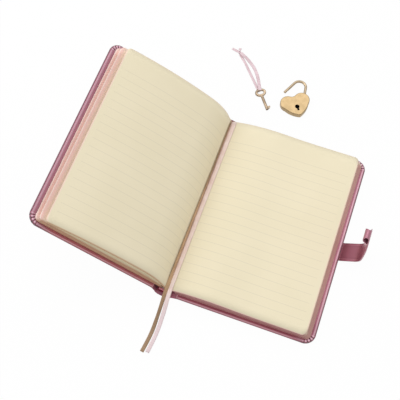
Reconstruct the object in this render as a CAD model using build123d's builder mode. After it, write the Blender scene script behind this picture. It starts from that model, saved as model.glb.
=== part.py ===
"""Pocket diary with a locking strap, lying open, with its heart padlock and its key beside it.

Frame: +Z up, millimetres. The origin is the middle of the face that the back cover rests on.
X runs from the spine to the fore edge of the back cover, Y from tail to head.
"""
from math import cos, radians, sin, tan
import os

from build123d import *

os.makedirs("parts", exist_ok=True)

# Case: boards wrapped in a thin skin, joined by a soft spine
cover_w = 124.0
cover_h = 183.0
cover_corner_r = 9.6
cover_edge_r = 0.8
board_t = 2.0
skin_t = 0.4
turn_in_w = 13.0
joint_reach = 2.8
back_axis_h = 1.3
front_axis_out = 0.8
fold_r = 0.5
fold_gap = 0.3
strip_seat = 0.7
spine_w = 17.0
spine_rest_deg = 16.5
cover_rest_deg = 33.0
spine_card_t = 0.8
spine_card_margin = 2.2
lining_t = 1.2
lining_from = 8.8
lining_to = 13.6
lining_rise = 3.0
lining_rise_to = 10.7
lining_slope = 0.6
band_r = 0.9

# Text block
page_w = 124.5
page_h = 176.0
page_corner_r = 4.4
paper_gap = 0.1
pastedown_t = 0.3
flyleaf_t = 0.3
section_count = 3
section_t = 1.45
section_step = 1.0
back_gap = 1.9
crepe_t = 0.4
fore_square = 4.15
leaf_t = 0.25
leaf_gap = 0.1
left_leaf_t = 0.7
left_fly_t = 0.4

# Opened gutter: the right-hand page's fold past the back fold, and the arcs of the paper as it lies
gutter_out = 5.65
gutter_z = 8.2
fold_cut = 0.8
right_heading = 18.0
right_bends = [(129.0, -18.0), (200.0, -4.5), (400.0, 4.5)]
root_lift = 0.7

# Left-hand leaves: place of the fold along the spine, first heading, arcs (radius, turn)
left_top = (10.0, 101.7, [(46.2, 43.1), (356.0, 12.4)])
left_middle = (11.8, 128.0, [(100.0, 21.7), (320.0, -2.8)])
left_fly = (13.3, 138.9, [(40.0, 8.9), (156.0, -0.84)])

# Strap: a wrap round the fore edge, then a flap ending in a loop for the shackle
strap_w = 17.6
strap_t = 1.2
strap_y = -1.5
strap_axis_out = 0.9
strap_axis_h = 1.5
wrap_l = 17.6
wrap_rest_deg = 36.6
flap_l = 42.5
flap_lean_deg = 4.9
flap_gap = 0.35
loop_w = 12.8
loop_r = 2.5
loop_bore_r = 1.7
loop_out = 1.3
taper_l = 16.0

# Staple on the front cover, beside the loop when the diary is shut
staple_gap = 1.2
staple_plate_l = 15.0
staple_plate_w = 6.0
staple_plate_t = 0.8
ear_t = 1.8
ear_w = 8.0
ear_h = 6.6
ear_hole_r = 1.9
rivet_r = 0.8
rivet_head_r = 1.5
rivet_head_t = 0.6

# Heart padlock, lying on its back
lock_x = -21.1
lock_y = 131.75
lock_deg = 36.0
lobe_r = 7.7
lobe_out = 7.0
heart_drop = 16.2
heart_bulge = 1.4
heart_tip_r = 1.6
heart_notch_r = 5.0
lock_h = 5.4
face_t = 1.1
face_edge_r = 0.8
case_floor_t = 0.7
case_wall_t = 1.3
keyhole_v = -6.4
keyhole_r = 2.2
keyhole_slot_w = 2.0
keyhole_slot_l = 4.4
key_post_r = 0.55
key_post_l = 1.8

# Shackle: a straight heel from its pivot, an arc, and a straight toe; headings are when shut
pivot_u = 9.65
pivot_v = 1.0
pivot_r = 1.0
pivot_gap = 0.05
eye_r = 2.3
wire_r = 1.3
heel_l = 13.2
heel_deg = 98.0
arch_r = 6.2
arch_deg = 147.0
toe_l = 15.0
toe_notch_u = -8.0
toe_notch_w = 1.6
toe_notch_from = 4.0
toe_notch_to = 5.3
shackle_open_deg = 36.0
shackle_more_deg = 30.0
wire_gap = 0.3
toe_way = (17.1, 21.7)
toe_way_deg = 181.0

# Bolt inside the lock
bolt_nose_u = -7.4
bolt_t = 1.6
bolt_arm_w = 2.4
bolt_bar_w = 3.0
bolt_bar_to = 3.6
bolt_tail_l = 2.4
bolt_gap = 0.2
bolt_throw = 1.1
guide_r = 0.8
guide_gap = 0.1
guide_u = (-3.2, 0.8)

# Key with an oval bow
key_x = -55.9
key_y = 131.7
key_deg = -53.0
key_z = 1.65
bow_w = 11.0
bow_l = 8.8
bow_wire_r = 1.2
shank_r = 1.4
shank_l = 20.0
shank_bore_l = 5.0
bit_l = 2.6
bit_reach = 3.7
bit_t = 1.3
bit_from_tip = 0.6
bit_cut = 1.1

# Ribbons
bookmark_w = 4.0
key_ribbon_w = 2.6
ribbon_t = 0.3
knot_r = 1.9
gold_route = [
    (-69.0, 87.0, 9.6), (-69.1, 45.0, 9.55), (-69.0, 2.0, 9.6), (-69.1, -36.0, 9.55),
    (-69.1, -66.0, 9.65), (-69.4, -91.0, 9.75), (-70.1, -102.5, 5.2), (-70.3, -113.5, 1.5),
    (-70.2, -124.5, 0.45), (-71.0, -134.5, 0.4), (-72.3, -144.0, 0.35),
]
pink_route = [
    (-67.2, 87.0, 10.2), (-67.1, 45.0, 10.15), (-67.2, 2.0, 10.2), (-67.1, -36.0, 10.15),
    (-67.1, -66.0, 10.25), (-66.9, -91.0, 10.35), (-66.3, -102.5, 5.8), (-65.9, -113.5, 1.9),
    (-65.6, -124.5, 0.5), (-66.0, -134.5, 0.4), (-66.8, -143.0, 0.35),
]
key_ribbon_over = [
    (-57.1, 133.3, 3.1), (-58.9, 136.9, 3.05), (-61.0, 142.0, 1.4), (-64.2, 148.7, 0.5),
    (-68.3, 154.9, 0.35), (-73.6, 160.4, 0.4), (-80.4, 165.2, 1.0), (-84.9, 167.3, 2.0),
    (-88.9, 168.9, 2.9),
]
key_ribbon_under = [
    (-57.6, 132.8, 0.22), (-61.8, 137.6, 0.2), (-66.2, 142.9, 0.22), (-70.9, 148.4, 0.2),
    (-75.6, 153.9, 0.22), (-80.3, 159.6, 0.2), (-84.8, 164.1, 0.25), (-89.4, 168.6, 0.55),
]
tail_long = [(-92.0, 170.4, 1.2), (-95.5, 171.5, 0.8), (-98.9, 172.6, 0.4)]
tail_short = [(-90.9, 171.55, 2.55), (-90.8, 173.3, 1.8), (-91.4, 175.2, 0.9)]
knot_at = (-90.4, 169.6, knot_r)

# Places worked out from the sizes above
cover_t = board_t + 2 * skin_t
fore_x = cover_w / 2
axis_reach = cover_w + joint_reach
back_axis = Vector(fore_x - axis_reach, 0, back_axis_h)
spine_dir = Vector(-cos(radians(spine_rest_deg)), 0, sin(radians(spine_rest_deg)))
cover_dir = Vector(-cos(radians(cover_rest_deg)), 0, sin(radians(cover_rest_deg)))
front_axis = back_axis + spine_dir * spine_w
back_plane = Plane(origin=back_axis, x_dir=(1, 0, 0), z_dir=(0, 0, 1))
front_plane = Plane(origin=front_axis, x_dir=cover_dir, z_dir=(cover_dir.Z, 0, -cover_dir.X))
spine_profile = Plane(origin=back_axis, x_dir=spine_dir, z_dir=(0, 1, 0))
lining_top = fold_r + spine_card_t + lining_t
block_back_x = back_axis.X + back_gap
gutter_x = back_axis.X - gutter_out
block_bottom = cover_t
open_base = block_bottom + flyleaf_t + section_count * section_t + leaf_gap
section_fore_x = fore_x - fore_square
lock_plane = Plane(origin=(lock_x, lock_y, 0)).rotated((0, 0, lock_deg))
key_plane = Plane(origin=(key_x, key_y, key_z)).rotated((0, 0, key_deg))
wire_z = (case_floor_t + lock_h - face_t) / 2


def save(builder, name):
    """Label a finished piece and write it as its own file."""
    builder.part.label = name
    export_step(builder.part, f"parts/{name}.step")


def sheet_side(start, heading, bends, length):
    """One side of a bent sheet: tangent arcs, then straight to its full length."""
    point = Vector(*start)
    left = length
    for radius, turn in bends:
        arc = JernArc(start=point, tangent=(cos(radians(heading)), sin(radians(heading))),
                      radius=radius, arc_size=turn)
        point = arc @ 1
        heading += turn
        left -= radius * radians(abs(turn))
    line = PolarLine(start=point, length=left, angle=heading)
    return line @ 1


def sheet_face(start, heading, bends, length, thickness):
    """Section of a bent sheet, its thickness to the left of its heading, or right if negative."""
    normal = Vector(-sin(radians(heading)), cos(radians(heading)))
    other = Vector(*start) + normal * thickness
    inner = [(r - thickness * (1 if turn > 0 else -1), turn) for r, turn in bends]
    straight = length - sum(r * radians(abs(turn)) for r, turn in bends)
    inner_length = straight + sum(r * radians(abs(turn)) for r, turn in inner)
    with BuildLine() as outline:
        end = sheet_side(start, heading, bends, length)
        other_end = sheet_side(other, heading, inner, inner_length)
        Line(start, other)
        Line(end, other_end)
    make_face(outline.edges())


def page_outline(from_x, to_x):
    """A page lying flat, square at the fold and rounded at the fore edge."""
    with Locations(((from_x + to_x) / 2, 0)):
        Rectangle(to_x - from_x, page_h)
    fillet(vertices().group_by(Axis.X)[-1], page_corner_r)


def cover_outline(inset):
    """A cover board's outline from its hinge side out, rounded at the fore edge."""
    with Locations((joint_reach + cover_w / 2, 0)):
        Rectangle(cover_w - 2 * inset, cover_h - 2 * inset)
    fillet(vertices().group_by(Axis.X)[-1], cover_corner_r - inset)


def window_outline(inset):
    """The part of a cover's inner face that the skin's turn-ins leave bare."""
    from_x = joint_reach + skin_t + inset
    to_x = axis_reach - turn_in_w - inset
    with Locations(((from_x + to_x) / 2, 0)):
        Rectangle(to_x - from_x, cover_h - 2 * turn_in_w - 2 * inset)


def ribbon(route, width):
    """A flat ribbon along a hand-laid route of straight runs and large arcs."""
    points = [Vector(*p) for p in route]
    runs = [b - a for a, b in zip(points, points[1:])]
    radii = []
    for before, after in zip(runs, runs[1:]):
        half_turn = radians(before.get_angle(after)) / 2
        radii.append(0.45 * min(before.length, after.length) / tan(half_turn))
    with BuildPart() as strip:
        with BuildLine() as path:
            FilletPolyline(*points, radius=radii)
        start = path.line @ 0
        along = path.line % 0
        across = along.cross(Vector(0, 0, 1)).normalized()
        with BuildSketch(Plane(origin=start, x_dir=across, z_dir=along)):
            Rectangle(width, ribbon_t)
        sweep(path=path.line)
    length = sum(edge.length for edge in path.edges())
    print("ribbon length", round(length, 1), "least radius", round(min(radii), 1))
    return strip


def make_cover(plane, outer_z, side):
    """Board, wrapped skin with its hinge strip, and pastedown of one cover.

    The plane's origin is on the fold axis, its X runs to the fore edge and its Z inward.
    """
    with BuildPart() as board:
        with BuildSketch(plane.offset(outer_z + skin_t)):
            cover_outline(skin_t)
        extrude(amount=board_t)
    save(board, f"{side}_board")

    with BuildPart() as skin:
        with BuildSketch(plane.offset(outer_z)):
            cover_outline(0)
        extrude(amount=cover_t)
        normal_axis = Axis(plane.origin, plane.z_dir)
        fillet(faces().sort_by(normal_axis)[0].edges() + faces().sort_by(normal_axis)[-1].edges(),
               cover_edge_r)
        with BuildSketch(Plane(origin=plane.origin, x_dir=plane.x_dir, z_dir=-plane.y_dir)):
            seat_x = joint_reach + cover_edge_r
            seat_z = outer_z + strip_seat
            Polygon((fold_r + fold_gap, -fold_r), (seat_x, seat_z - fold_r),
                    (seat_x, seat_z + fold_r), (fold_r + fold_gap, fold_r), align=None)
        extrude(amount=cover_h / 2, both=True)
        with BuildSketch(plane.offset(outer_z + skin_t)):
            cover_outline(skin_t)
        extrude(amount=board_t, mode=Mode.SUBTRACT)
        with BuildSketch(plane.offset(outer_z + skin_t + board_t)):
            window_outline(0)
        extrude(amount=skin_t, mode=Mode.SUBTRACT)
    save(skin, f"{side}_cover_skin")

    with BuildPart() as pastedown:
        with BuildSketch(plane.offset(outer_z + skin_t + board_t)):
            window_outline(paper_gap)
        extrude(amount=pastedown_t)
    save(pastedown, f"{side}_pastedown")


# The two covers, one lying on the table and one leaning back
make_cover(back_plane, -back_axis_h, "back")
make_cover(front_plane, front_axis_out, "front")

# Spine: soft skin rounded on both fold axes, a stiff card and the lining that holds the folds
with BuildPart() as spine_skin:
    with BuildSketch(spine_profile):
        with Locations((spine_w / 2, 0)):
            SlotCenterToCenter(spine_w, 2 * fold_r)
    extrude(amount=cover_h / 2, both=True)
save(spine_skin, "spine_skin")

with BuildPart() as spine_card:
    with BuildSketch(spine_profile):
        with Locations((spine_w / 2, fold_r + spine_card_t / 2)):
            Rectangle(spine_w - 2 * spine_card_margin, spine_card_t)
    extrude(amount=cover_h / 2 - skin_t, both=True)
save(spine_card, "spine_card")

with BuildPart() as spine_lining:
    with BuildSketch(spine_profile):
        lining_base = lining_top - lining_t
        lining_crest = lining_top + lining_rise
        Polygon((lining_from, lining_base), (lining_from, lining_crest), (lining_rise_to, lining_crest),
                (lining_rise_to + lining_slope, lining_top), (lining_to, lining_top),
                (lining_to, lining_base), align=None)
    extrude(amount=page_h / 2, both=True)
save(spine_lining, "spine_lining")

# Head and tail bands: small beads against the ends of the lining
for name, end in (("head_band", 1), ("tail_band", -1)):
    with BuildPart() as band:
        band_y = end * (page_h / 2 + band_r)
        band_h = fold_r + spine_card_t + band_r
        bead_start = spine_profile.from_local_coords((lining_from, band_h, band_y))
        with BuildSketch(Plane(origin=bead_start, z_dir=spine_dir)):
            Circle(band_r)
        extrude(amount=lining_to - lining_from)
    save(band, name)

# Right-hand pages under the opening, stepped back towards the top
with BuildPart() as back_flyleaf:
    with BuildSketch(Plane.XY.offset(block_bottom)):
        page_outline(block_back_x, section_fore_x)
    extrude(amount=flyleaf_t)
save(back_flyleaf, "back_flyleaf")

for index in range(section_count):
    with BuildPart() as section:
        with BuildSketch(Plane.XY.offset(block_bottom + flyleaf_t + index * section_t)):
            page_outline(block_back_x, section_fore_x - index * section_step)
        extrude(amount=section_t)
    save(section, f"page_section_{index + 1}")

with BuildPart() as spine_crepe:
    with BuildSketch(Plane.XY.offset(block_bottom)):
        with Locations((block_back_x - crepe_t / 2, 0)):
            Rectangle(crepe_t, page_h)
    extrude(amount=flyleaf_t + section_count * section_t)
save(spine_crepe, "block_crepe")

# The leaf on top of the right-hand side, and the opened section that it lies on
right_start = (gutter_x, gutter_z)
with BuildPart() as turning_leaf:
    with BuildSketch(Plane.XZ):
        sheet_face(right_start, right_heading, right_bends, page_w, -leaf_t)
    extrude(amount=page_h / 2, both=True)
    corner_edges = edges().filter_by(lambda e: abs(e.length - leaf_t) < 0.01).sort_by(Axis.X)
    fillet(corner_edges[-2:], page_corner_r)
save(turning_leaf, "turning_leaf")
right_fore_x = turning_leaf.part.bounding_box().max.X

with BuildPart() as open_section:
    drop = leaf_t + leaf_gap
    under_bends = [(r + drop * (1 if turn > 0 else -1), turn) for r, turn in right_bends]
    under_start = (gutter_x + drop * sin(radians(right_heading)),
                   gutter_z - drop * cos(radians(right_heading)))
    with BuildSketch(Plane.XZ):
        with BuildLine():
            top_end = sheet_side(under_start, right_heading, under_bends, page_w)
            Polyline(top_end, (top_end.X, open_base), (under_start[0], open_base), under_start)
        make_face()
    extrude(amount=page_h / 2, both=True)
    with BuildSketch(Plane.XY.offset(open_base)):
        page_outline(gutter_x + fold_cut, right_fore_x)
    extrude(amount=cover_h, mode=Mode.INTERSECT)
save(open_section, "open_section")


# Left-hand leaves: bent sheets that rise from their folds and lean over the open cover
def left_sheet(place, rise, thickness, name):
    along, heading, bends = place
    root = spine_profile.from_local_coords((along, lining_top + rise + root_lift, 0))
    with BuildPart() as sheet:
        with BuildSketch(Plane.XZ):
            sheet_face((root.X, root.Z), heading, bends, page_w, thickness)
        extrude(amount=page_h / 2, both=True)
        corner_edges = edges().filter_by(lambda e: abs(e.length - thickness) < 0.01)
        fillet(corner_edges.sort_by(Axis.X)[:2], page_corner_r)
    save(sheet, name)


left_sheet(left_top, lining_rise, left_leaf_t, "left_leaves_top")
left_sheet(left_middle, 0, left_leaf_t, "left_leaves_middle")
left_sheet(left_fly, 0, left_fly_t, "front_flyleaf")

# Strap: the wrap is rounded on its two fold axes
strap_axis = Vector(fore_x + strap_axis_out, strap_y, strap_axis_h)
wrap_dir = Vector(cos(radians(wrap_rest_deg)), 0, sin(radians(wrap_rest_deg)))
flap_axis = strap_axis + wrap_dir * wrap_l
with BuildPart() as strap_wrap:
    with BuildSketch(Plane(origin=strap_axis, x_dir=wrap_dir, z_dir=(0, -1, 0))):
        with Locations((wrap_l / 2, 0)):
            SlotCenterToCenter(wrap_l, strap_t)
    extrude(amount=strap_w / 2, both=True)
save(strap_wrap, "strap_wrap")

# The flap stands up from the second fold, leaning in, and its end is rolled into a loop
flap_lean = radians(flap_lean_deg)
flap_plane = Plane(origin=flap_axis, x_dir=(0, 1, 0), z_dir=(cos(flap_lean), 0, sin(flap_lean)))
flap_from = strap_t / 2 + flap_gap
with BuildPart() as strap_flap:
    with BuildSketch(flap_plane):
        Polygon((-strap_w / 2, flap_from), (strap_w / 2, flap_from),
                (strap_w / 2, flap_l - taper_l), (loop_w / 2, flap_l - loop_r),
                (loop_w / 2, flap_l), (-loop_w / 2, flap_l), (-loop_w / 2, flap_l - loop_r),
                (-strap_w / 2, flap_l - taper_l), align=None)
    extrude(amount=strap_t / 2, both=True)
    loop_centre = flap_plane.from_local_coords((0, flap_l, loop_out))
    with BuildSketch(Plane(origin=loop_centre, z_dir=(0, 1, 0))):
        Circle(loop_r)
    extrude(amount=loop_w / 2, both=True)
    with BuildSketch(Plane(origin=loop_centre, z_dir=(0, 1, 0))):
        Circle(loop_bore_r)
    extrude(amount=loop_w / 2, both=True, mode=Mode.SUBTRACT)
save(strap_flap, "strap_flap")

# Staple: a riveted plate with an ear whose hole lines up with the loop of the shut strap
shut_loop_x = axis_reach + strap_axis_out - flap_l
shut_axis_z = back_axis_h + spine_w
shut_loop_z = strap_axis_h + wrap_l + loop_out
ear_y = strap_y + loop_w / 2 + staple_gap + ear_t / 2
plate_y = ear_y + (staple_plate_w - ear_t) / 2
with BuildPart() as lock_staple:
    with BuildSketch(front_plane.offset(front_axis_out)):
        with Locations((shut_loop_x, -plate_y)):
            RectangleRounded(staple_plate_l, staple_plate_w, 1.5)
    extrude(amount=-staple_plate_t)
    ear_plane = Plane(origin=front_plane.from_local_coords((shut_loop_x, -ear_y, front_axis_out)),
                      x_dir=front_plane.x_dir, z_dir=(0, 1, 0))
    with BuildSketch(ear_plane):
        with Locations((0, -ear_h / 2)):
            Rectangle(ear_w, ear_h)
        fillet(vertices().group_by(Axis.Y)[0], ear_w / 2 - 0.5)
        with Locations((0, shut_axis_z - front_axis_out - shut_loop_z)):
            Circle(ear_hole_r, mode=Mode.SUBTRACT)
    extrude(amount=ear_t / 2, both=True)
    rivet_spots = [(shut_loop_x + side * (staple_plate_l / 2 - rivet_head_r - 0.4), -plate_y)
                   for side in (-1, 1)]
    with BuildSketch(front_plane.offset(front_axis_out)):
        with Locations(*rivet_spots):
            Circle(rivet_r)
    extrude(amount=-staple_plate_t, mode=Mode.SUBTRACT)
save(lock_staple, "lock_staple")

with BuildPart() as staple_rivets:
    with BuildSketch(front_plane.offset(front_axis_out)):
        with Locations(*rivet_spots):
            Circle(rivet_r)
    extrude(amount=-staple_plate_t)
    with BuildSketch(front_plane.offset(front_axis_out - staple_plate_t)):
        with Locations(*rivet_spots):
            Circle(rivet_head_r)
    extrude(amount=-rivet_head_t)
save(staple_rivets, "staple_rivets")


# Padlock
def heart_outline():
    """Heart of two lobes and a point, with bulging sides and its point and notch rounded."""
    reach = (lobe_out ** 2 + heart_drop ** 2) ** 0.5
    lean = Vector(-lobe_out, -heart_drop).normalized()
    side = Vector(heart_drop, -lobe_out).normalized()
    share = lobe_r / reach
    touch = Vector(lobe_out, 0) + lean * lobe_r * share + side * lobe_r * (1 - share ** 2) ** 0.5
    tip = Vector(0, -heart_drop)
    flank = tip - touch
    swell = (touch + tip) / 2 + Vector(-flank.Y, flank.X).normalized() * heart_bulge
    with Locations((lobe_out, 0), (-lobe_out, 0)):
        Circle(lobe_r)
    with BuildLine() as wedge:
        Line((lobe_out, 0), touch)
        ThreePointArc(touch, swell, tip)
        ThreePointArc(tip, (-swell.X, swell.Y), (-touch.X, touch.Y))
        Polyline((-touch.X, touch.Y), (-lobe_out, 0), (lobe_out, 0))
    make_face(wedge.edges())
    middle = vertices().filter_by(lambda v: abs(v.X) < 0.01).sort_by(Axis.Y)
    fillet(middle[0], heart_tip_r)
    middle = vertices().filter_by(lambda v: abs(v.X) < 0.01).sort_by(Axis.Y)
    fillet(middle[-1], heart_notch_r)


pivot_at = Vector(pivot_u, pivot_v)
slot_r = wire_r + wire_gap
with BuildPart() as lock_case:
    with BuildSketch(lock_plane):
        heart_outline()
    extrude(amount=lock_h - face_t)
    fillet(faces().sort_by(Axis.Z)[0].edges(), face_edge_r)
    with BuildSketch(lock_plane.offset(case_floor_t)):
        heart_outline()
        offset(amount=-case_wall_t, mode=Mode.REPLACE)
    extrude(amount=lock_h - face_t - case_floor_t, mode=Mode.SUBTRACT)
    # Way in for the toe, on the circle that it swings along, and the slot of the pivoted heel
    with BuildSketch(lock_plane.offset(wire_z - slot_r)):
        ways = [pivot_at + Vector(r, 0).rotate(Axis.Z, toe_way_deg - turn)
                for turn in (0, 24) for r in toe_way]
        crown = [pivot_at + Vector(r, 0).rotate(Axis.Z, toe_way_deg - 12) for r in toe_way]
        with BuildLine() as way:
            ThreePointArc(ways[0], crown[0], ways[2])
            ThreePointArc(ways[1], crown[1], ways[3])
            Line(ways[0], ways[1])
            Line(ways[2], ways[3])
        make_face(way.edges())
        far = 2 * lobe_r
        most_open = heel_deg - shackle_open_deg - shackle_more_deg
        left_edge = Vector(0, slot_r).rotate(Axis.Z, heel_deg)
        right_edge = Vector(0, -slot_r).rotate(Axis.Z, most_open)
        corners = [left_edge, left_edge + Vector(far, 0).rotate(Axis.Z, heel_deg),
                   Vector(1.3 * far, 0).rotate(Axis.Z, (heel_deg + most_open) / 2),
                   right_edge + Vector(far, 0).rotate(Axis.Z, most_open), right_edge]
        Polygon(*[((pivot_at + c).X, (pivot_at + c).Y) for c in corners], align=None)
    extrude(amount=lock_h - face_t - wire_z + slot_r, mode=Mode.SUBTRACT)
    # Bosses and pins that guide the bolt
    with BuildSketch(lock_plane.offset(case_floor_t)):
        with Locations(*[(u, 0) for u in guide_u]):
            Circle(2 * guide_r)
    extrude(amount=wire_z - bolt_t / 2 - case_floor_t - guide_gap)
    with BuildSketch(lock_plane.offset(case_floor_t)):
        with Locations(*[(u, 0) for u in guide_u]):
            Circle(guide_r)
    extrude(amount=wire_z + bolt_t / 2 + guide_gap - case_floor_t)
save(lock_case, "lock_case")

with BuildPart() as lock_face:
    with BuildSketch(lock_plane.offset(lock_h - face_t)):
        heart_outline()
    extrude(amount=face_t)
    fillet(faces().sort_by(Axis.Z)[-1].edges(), face_edge_r)
    with BuildSketch(lock_plane.offset(lock_h - face_t)):
        with Locations((0, keyhole_v)):
            Circle(keyhole_r)
        with Locations((0, keyhole_v - keyhole_slot_l / 2)):
            Rectangle(keyhole_slot_w, keyhole_slot_l)
    extrude(amount=face_t, mode=Mode.SUBTRACT)
save(lock_face, "lock_face")

with BuildPart() as key_post:
    with BuildSketch(lock_plane.offset(case_floor_t)):
        with Locations((0, keyhole_v)):
            Circle(key_post_r)
    extrude(amount=key_post_l)
save(key_post, "key_post")

with BuildPart() as shackle_pivot:
    with BuildSketch(lock_plane.offset(case_floor_t)):
        with Locations((pivot_u, pivot_v)):
            Circle(pivot_r)
    extrude(amount=lock_h - face_t - case_floor_t)
save(shackle_pivot, "shackle_pivot")

# Bolt: thrown by the key into the notch of the shackle's toe
with BuildPart() as lock_bolt:
    with BuildSketch(lock_plane.offset(wire_z - bolt_t / 2)):
        nose_from = toe_notch_from + bolt_gap
        nose_to = toe_notch_to - bolt_gap
        nose_root = bolt_nose_u + bolt_throw
        arm_back = bolt_nose_u + bolt_arm_w
        half_bar = bolt_bar_w / 2
        tail_u = bolt_bar_to - bolt_tail_l
        tail_v = -half_bar - bolt_tail_l
        Polygon((bolt_nose_u, nose_from), (nose_root, nose_from), (nose_root, -half_bar), (tail_u, -half_bar),
                (tail_u, tail_v), (bolt_bar_to, tail_v), (bolt_bar_to, half_bar), (arm_back, half_bar),
                (arm_back, nose_to), (bolt_nose_u, nose_to), align=None)
        for u in guide_u:
            with Locations((u + bolt_throw / 2, 0)):
                SlotCenterToCenter(bolt_throw, 2 * (guide_r + guide_gap), mode=Mode.SUBTRACT)
    extrude(amount=bolt_t)
save(lock_bolt, "lock_bolt")

# Shackle, drawn shut and then swung open about its pivot
with BuildPart() as shackle:
    with BuildLine(Plane.XY.offset(wire_z)) as bow_line:
        heel = PolarLine(start=(pivot_u, pivot_v), length=heel_l, angle=heel_deg)
        arch = JernArc(start=heel @ 1, tangent=heel % 1, radius=arch_r, arc_size=arch_deg)
        PolarLine(start=arch @ 1, length=toe_l, angle=heel_deg + arch_deg)
    heel_dir = Vector(1, 0, 0).rotate(Axis.Z, heel_deg)
    with BuildSketch(Plane(origin=(pivot_u, pivot_v, wire_z), z_dir=heel_dir)):
        Circle(wire_r)
    sweep(path=bow_line.line)
    with BuildSketch(Plane.XY.offset(wire_z - wire_r)):
        with Locations((pivot_u, pivot_v)):
            Circle(eye_r)
    extrude(amount=2 * wire_r)
    with BuildSketch(Plane.XY.offset(wire_z - wire_r)):
        with Locations((pivot_u, pivot_v)):
            Circle(pivot_r + pivot_gap)
    extrude(amount=2 * wire_r, mode=Mode.SUBTRACT)
    with BuildSketch(Plane.XY.offset(wire_z - wire_r)):
        with Locations((toe_notch_u, (toe_notch_from + toe_notch_to) / 2)):
            Rectangle(toe_notch_w, toe_notch_to - toe_notch_from)
    extrude(amount=2 * wire_r, mode=Mode.SUBTRACT)
swung = shackle.part.rotate(Axis((pivot_u, pivot_v, 0), (0, 0, 1)), -shackle_open_deg)
open_shackle = lock_plane.from_local_coords(swung)
open_shackle.label = "shackle"
export_step(open_shackle, "parts/shackle.step")

# Key: oval bow, round shank with a bored end, and a bit
with BuildPart() as key:
    with BuildSketch(key_plane.offset(-bow_wire_r)):
        Ellipse(bow_l / 2, bow_w / 2)
        Ellipse(bow_l / 2 - 2 * bow_wire_r, bow_w / 2 - 2 * bow_wire_r, mode=Mode.SUBTRACT)
    extrude(amount=2 * bow_wire_r)
    fillet(edges().group_by(Axis.Z)[0] + edges().group_by(Axis.Z)[-1], bow_wire_r * 0.7)
    shank_plane = Plane(origin=key_plane.origin, x_dir=key_plane.y_dir, z_dir=key_plane.x_dir)
    with BuildSketch(shank_plane.offset(bow_l / 2 - bow_wire_r)):
        Circle(shank_r)
    extrude(amount=shank_l - bow_l / 2 + bow_wire_r)
    with BuildSketch(key_plane.offset(-bit_t / 2)):
        bit_end = shank_l - bit_from_tip
        Polygon((bit_end - bit_l, 0), (bit_end, 0), (bit_end, bit_reach - bit_cut),
                (bit_end - bit_l / 2, bit_reach - bit_cut), (bit_end - bit_l / 2, bit_reach),
                (bit_end - bit_l, bit_reach), align=None)
    extrude(amount=bit_t)
    with BuildSketch(shank_plane.offset(shank_l - shank_bore_l)):
        Circle(key_post_r + guide_gap)
    extrude(amount=shank_bore_l, mode=Mode.SUBTRACT)
save(key, "key")

# Ribbons: two page markers lying down the gutter, and the loop that carries the key
save(ribbon(gold_route, bookmark_w), "bookmark_gold")
save(ribbon(pink_route, bookmark_w), "bookmark_pink")
save(ribbon(key_ribbon_over, key_ribbon_w), "key_ribbon_over")
save(ribbon(key_ribbon_under, key_ribbon_w), "key_ribbon_under")
save(ribbon(tail_long, key_ribbon_w), "key_ribbon_tail_long")
save(ribbon(tail_short, key_ribbon_w), "key_ribbon_tail_short")
with BuildPart() as knot:
    with Locations(knot_at):
        Sphere(knot_r)
save(knot, "key_ribbon_knot")

print("front axis", front_axis, "flap axis", flap_axis, "back axis", back_axis)
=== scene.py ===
from math import acos, cos, pi, radians, sin, sqrt
from random import Random

import bmesh
import bpy
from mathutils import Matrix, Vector


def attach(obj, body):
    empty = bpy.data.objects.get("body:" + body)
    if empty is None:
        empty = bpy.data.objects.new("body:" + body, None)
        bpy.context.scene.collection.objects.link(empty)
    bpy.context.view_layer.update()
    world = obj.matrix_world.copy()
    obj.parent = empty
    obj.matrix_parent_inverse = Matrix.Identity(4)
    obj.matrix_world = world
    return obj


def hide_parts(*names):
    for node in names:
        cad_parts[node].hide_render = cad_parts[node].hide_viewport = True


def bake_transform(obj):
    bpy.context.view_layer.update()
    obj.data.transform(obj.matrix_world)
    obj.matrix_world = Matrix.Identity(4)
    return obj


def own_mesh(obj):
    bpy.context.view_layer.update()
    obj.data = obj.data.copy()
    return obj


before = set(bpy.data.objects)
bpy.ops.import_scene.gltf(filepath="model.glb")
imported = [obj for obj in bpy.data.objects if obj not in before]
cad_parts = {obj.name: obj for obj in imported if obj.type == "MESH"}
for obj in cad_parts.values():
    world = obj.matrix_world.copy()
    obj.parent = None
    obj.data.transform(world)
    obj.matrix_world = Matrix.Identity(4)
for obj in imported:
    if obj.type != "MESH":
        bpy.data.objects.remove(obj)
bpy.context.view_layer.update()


# Table, light and camera. The diary lies on a white table under an even white sky, with a large
# soft lamp over its head end and a smaller one beyond the raised cover; the camera stands at the
# tail, looking steeply down.
def srgb(red, green, blue):
    """Linear colour of an 8-bit screen colour."""
    parts = [value / 255 for value in (red, green, blue)]
    return (*(p / 12.92 if p <= 0.04045 else ((p + 0.055) / 1.055) ** 2.4 for p in parts), 1.0)


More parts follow.
